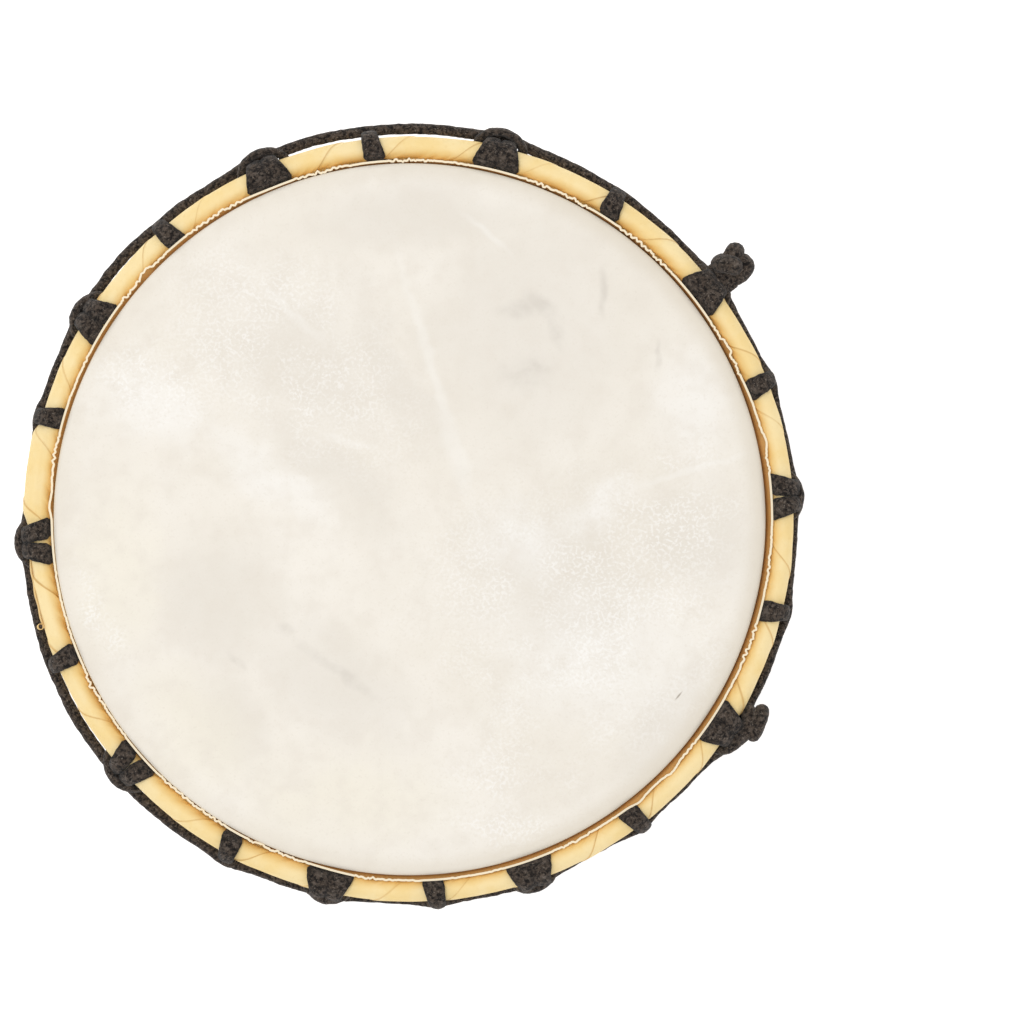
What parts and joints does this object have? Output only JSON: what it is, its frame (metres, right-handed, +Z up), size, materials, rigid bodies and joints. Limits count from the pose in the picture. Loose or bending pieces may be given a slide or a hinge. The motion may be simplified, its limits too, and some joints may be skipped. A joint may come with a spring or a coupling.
{
  "type": "ceremonial drum",
  "caption": "Shallow single-headed drum with a goatskin head, tape-bound crown ring, black hitched rope and zigzag lacing on a tapered wooden shell that is open underneath.",
  "frame": {"origin": "on the floor under the middle of the drum, at the bottom rim's plane", "axes": "+Z up through the head, +X to the right and +Y to the top of the picture"},
  "size_m": [0.3362, 0.3338, 0.115],
  "materials": {
    "varnished_wood": "red-brown stain under satin varnish outside, plain inside",
    "goatskin": "scraped ivory skin, matt to satin, with faint white flecks",
    "hoop_steel": "plain round rod, hidden in the folded skin",
    "binding_tape": "pale yellow ribbed tape wound over a steel rod",
    "black_rope": "soft charcoal braided cord"
  },
  "bodies": {
    "root": {"shell": "varnished_wood", "head": "goatskin", "flesh_hoop": "hoop_steel", "crown_ring": "binding_tape", "crown_rope": "black_rope", "lacing_rope": "black_rope", "bottom_ring": "binding_tape"}
  },
  "joints": []
}
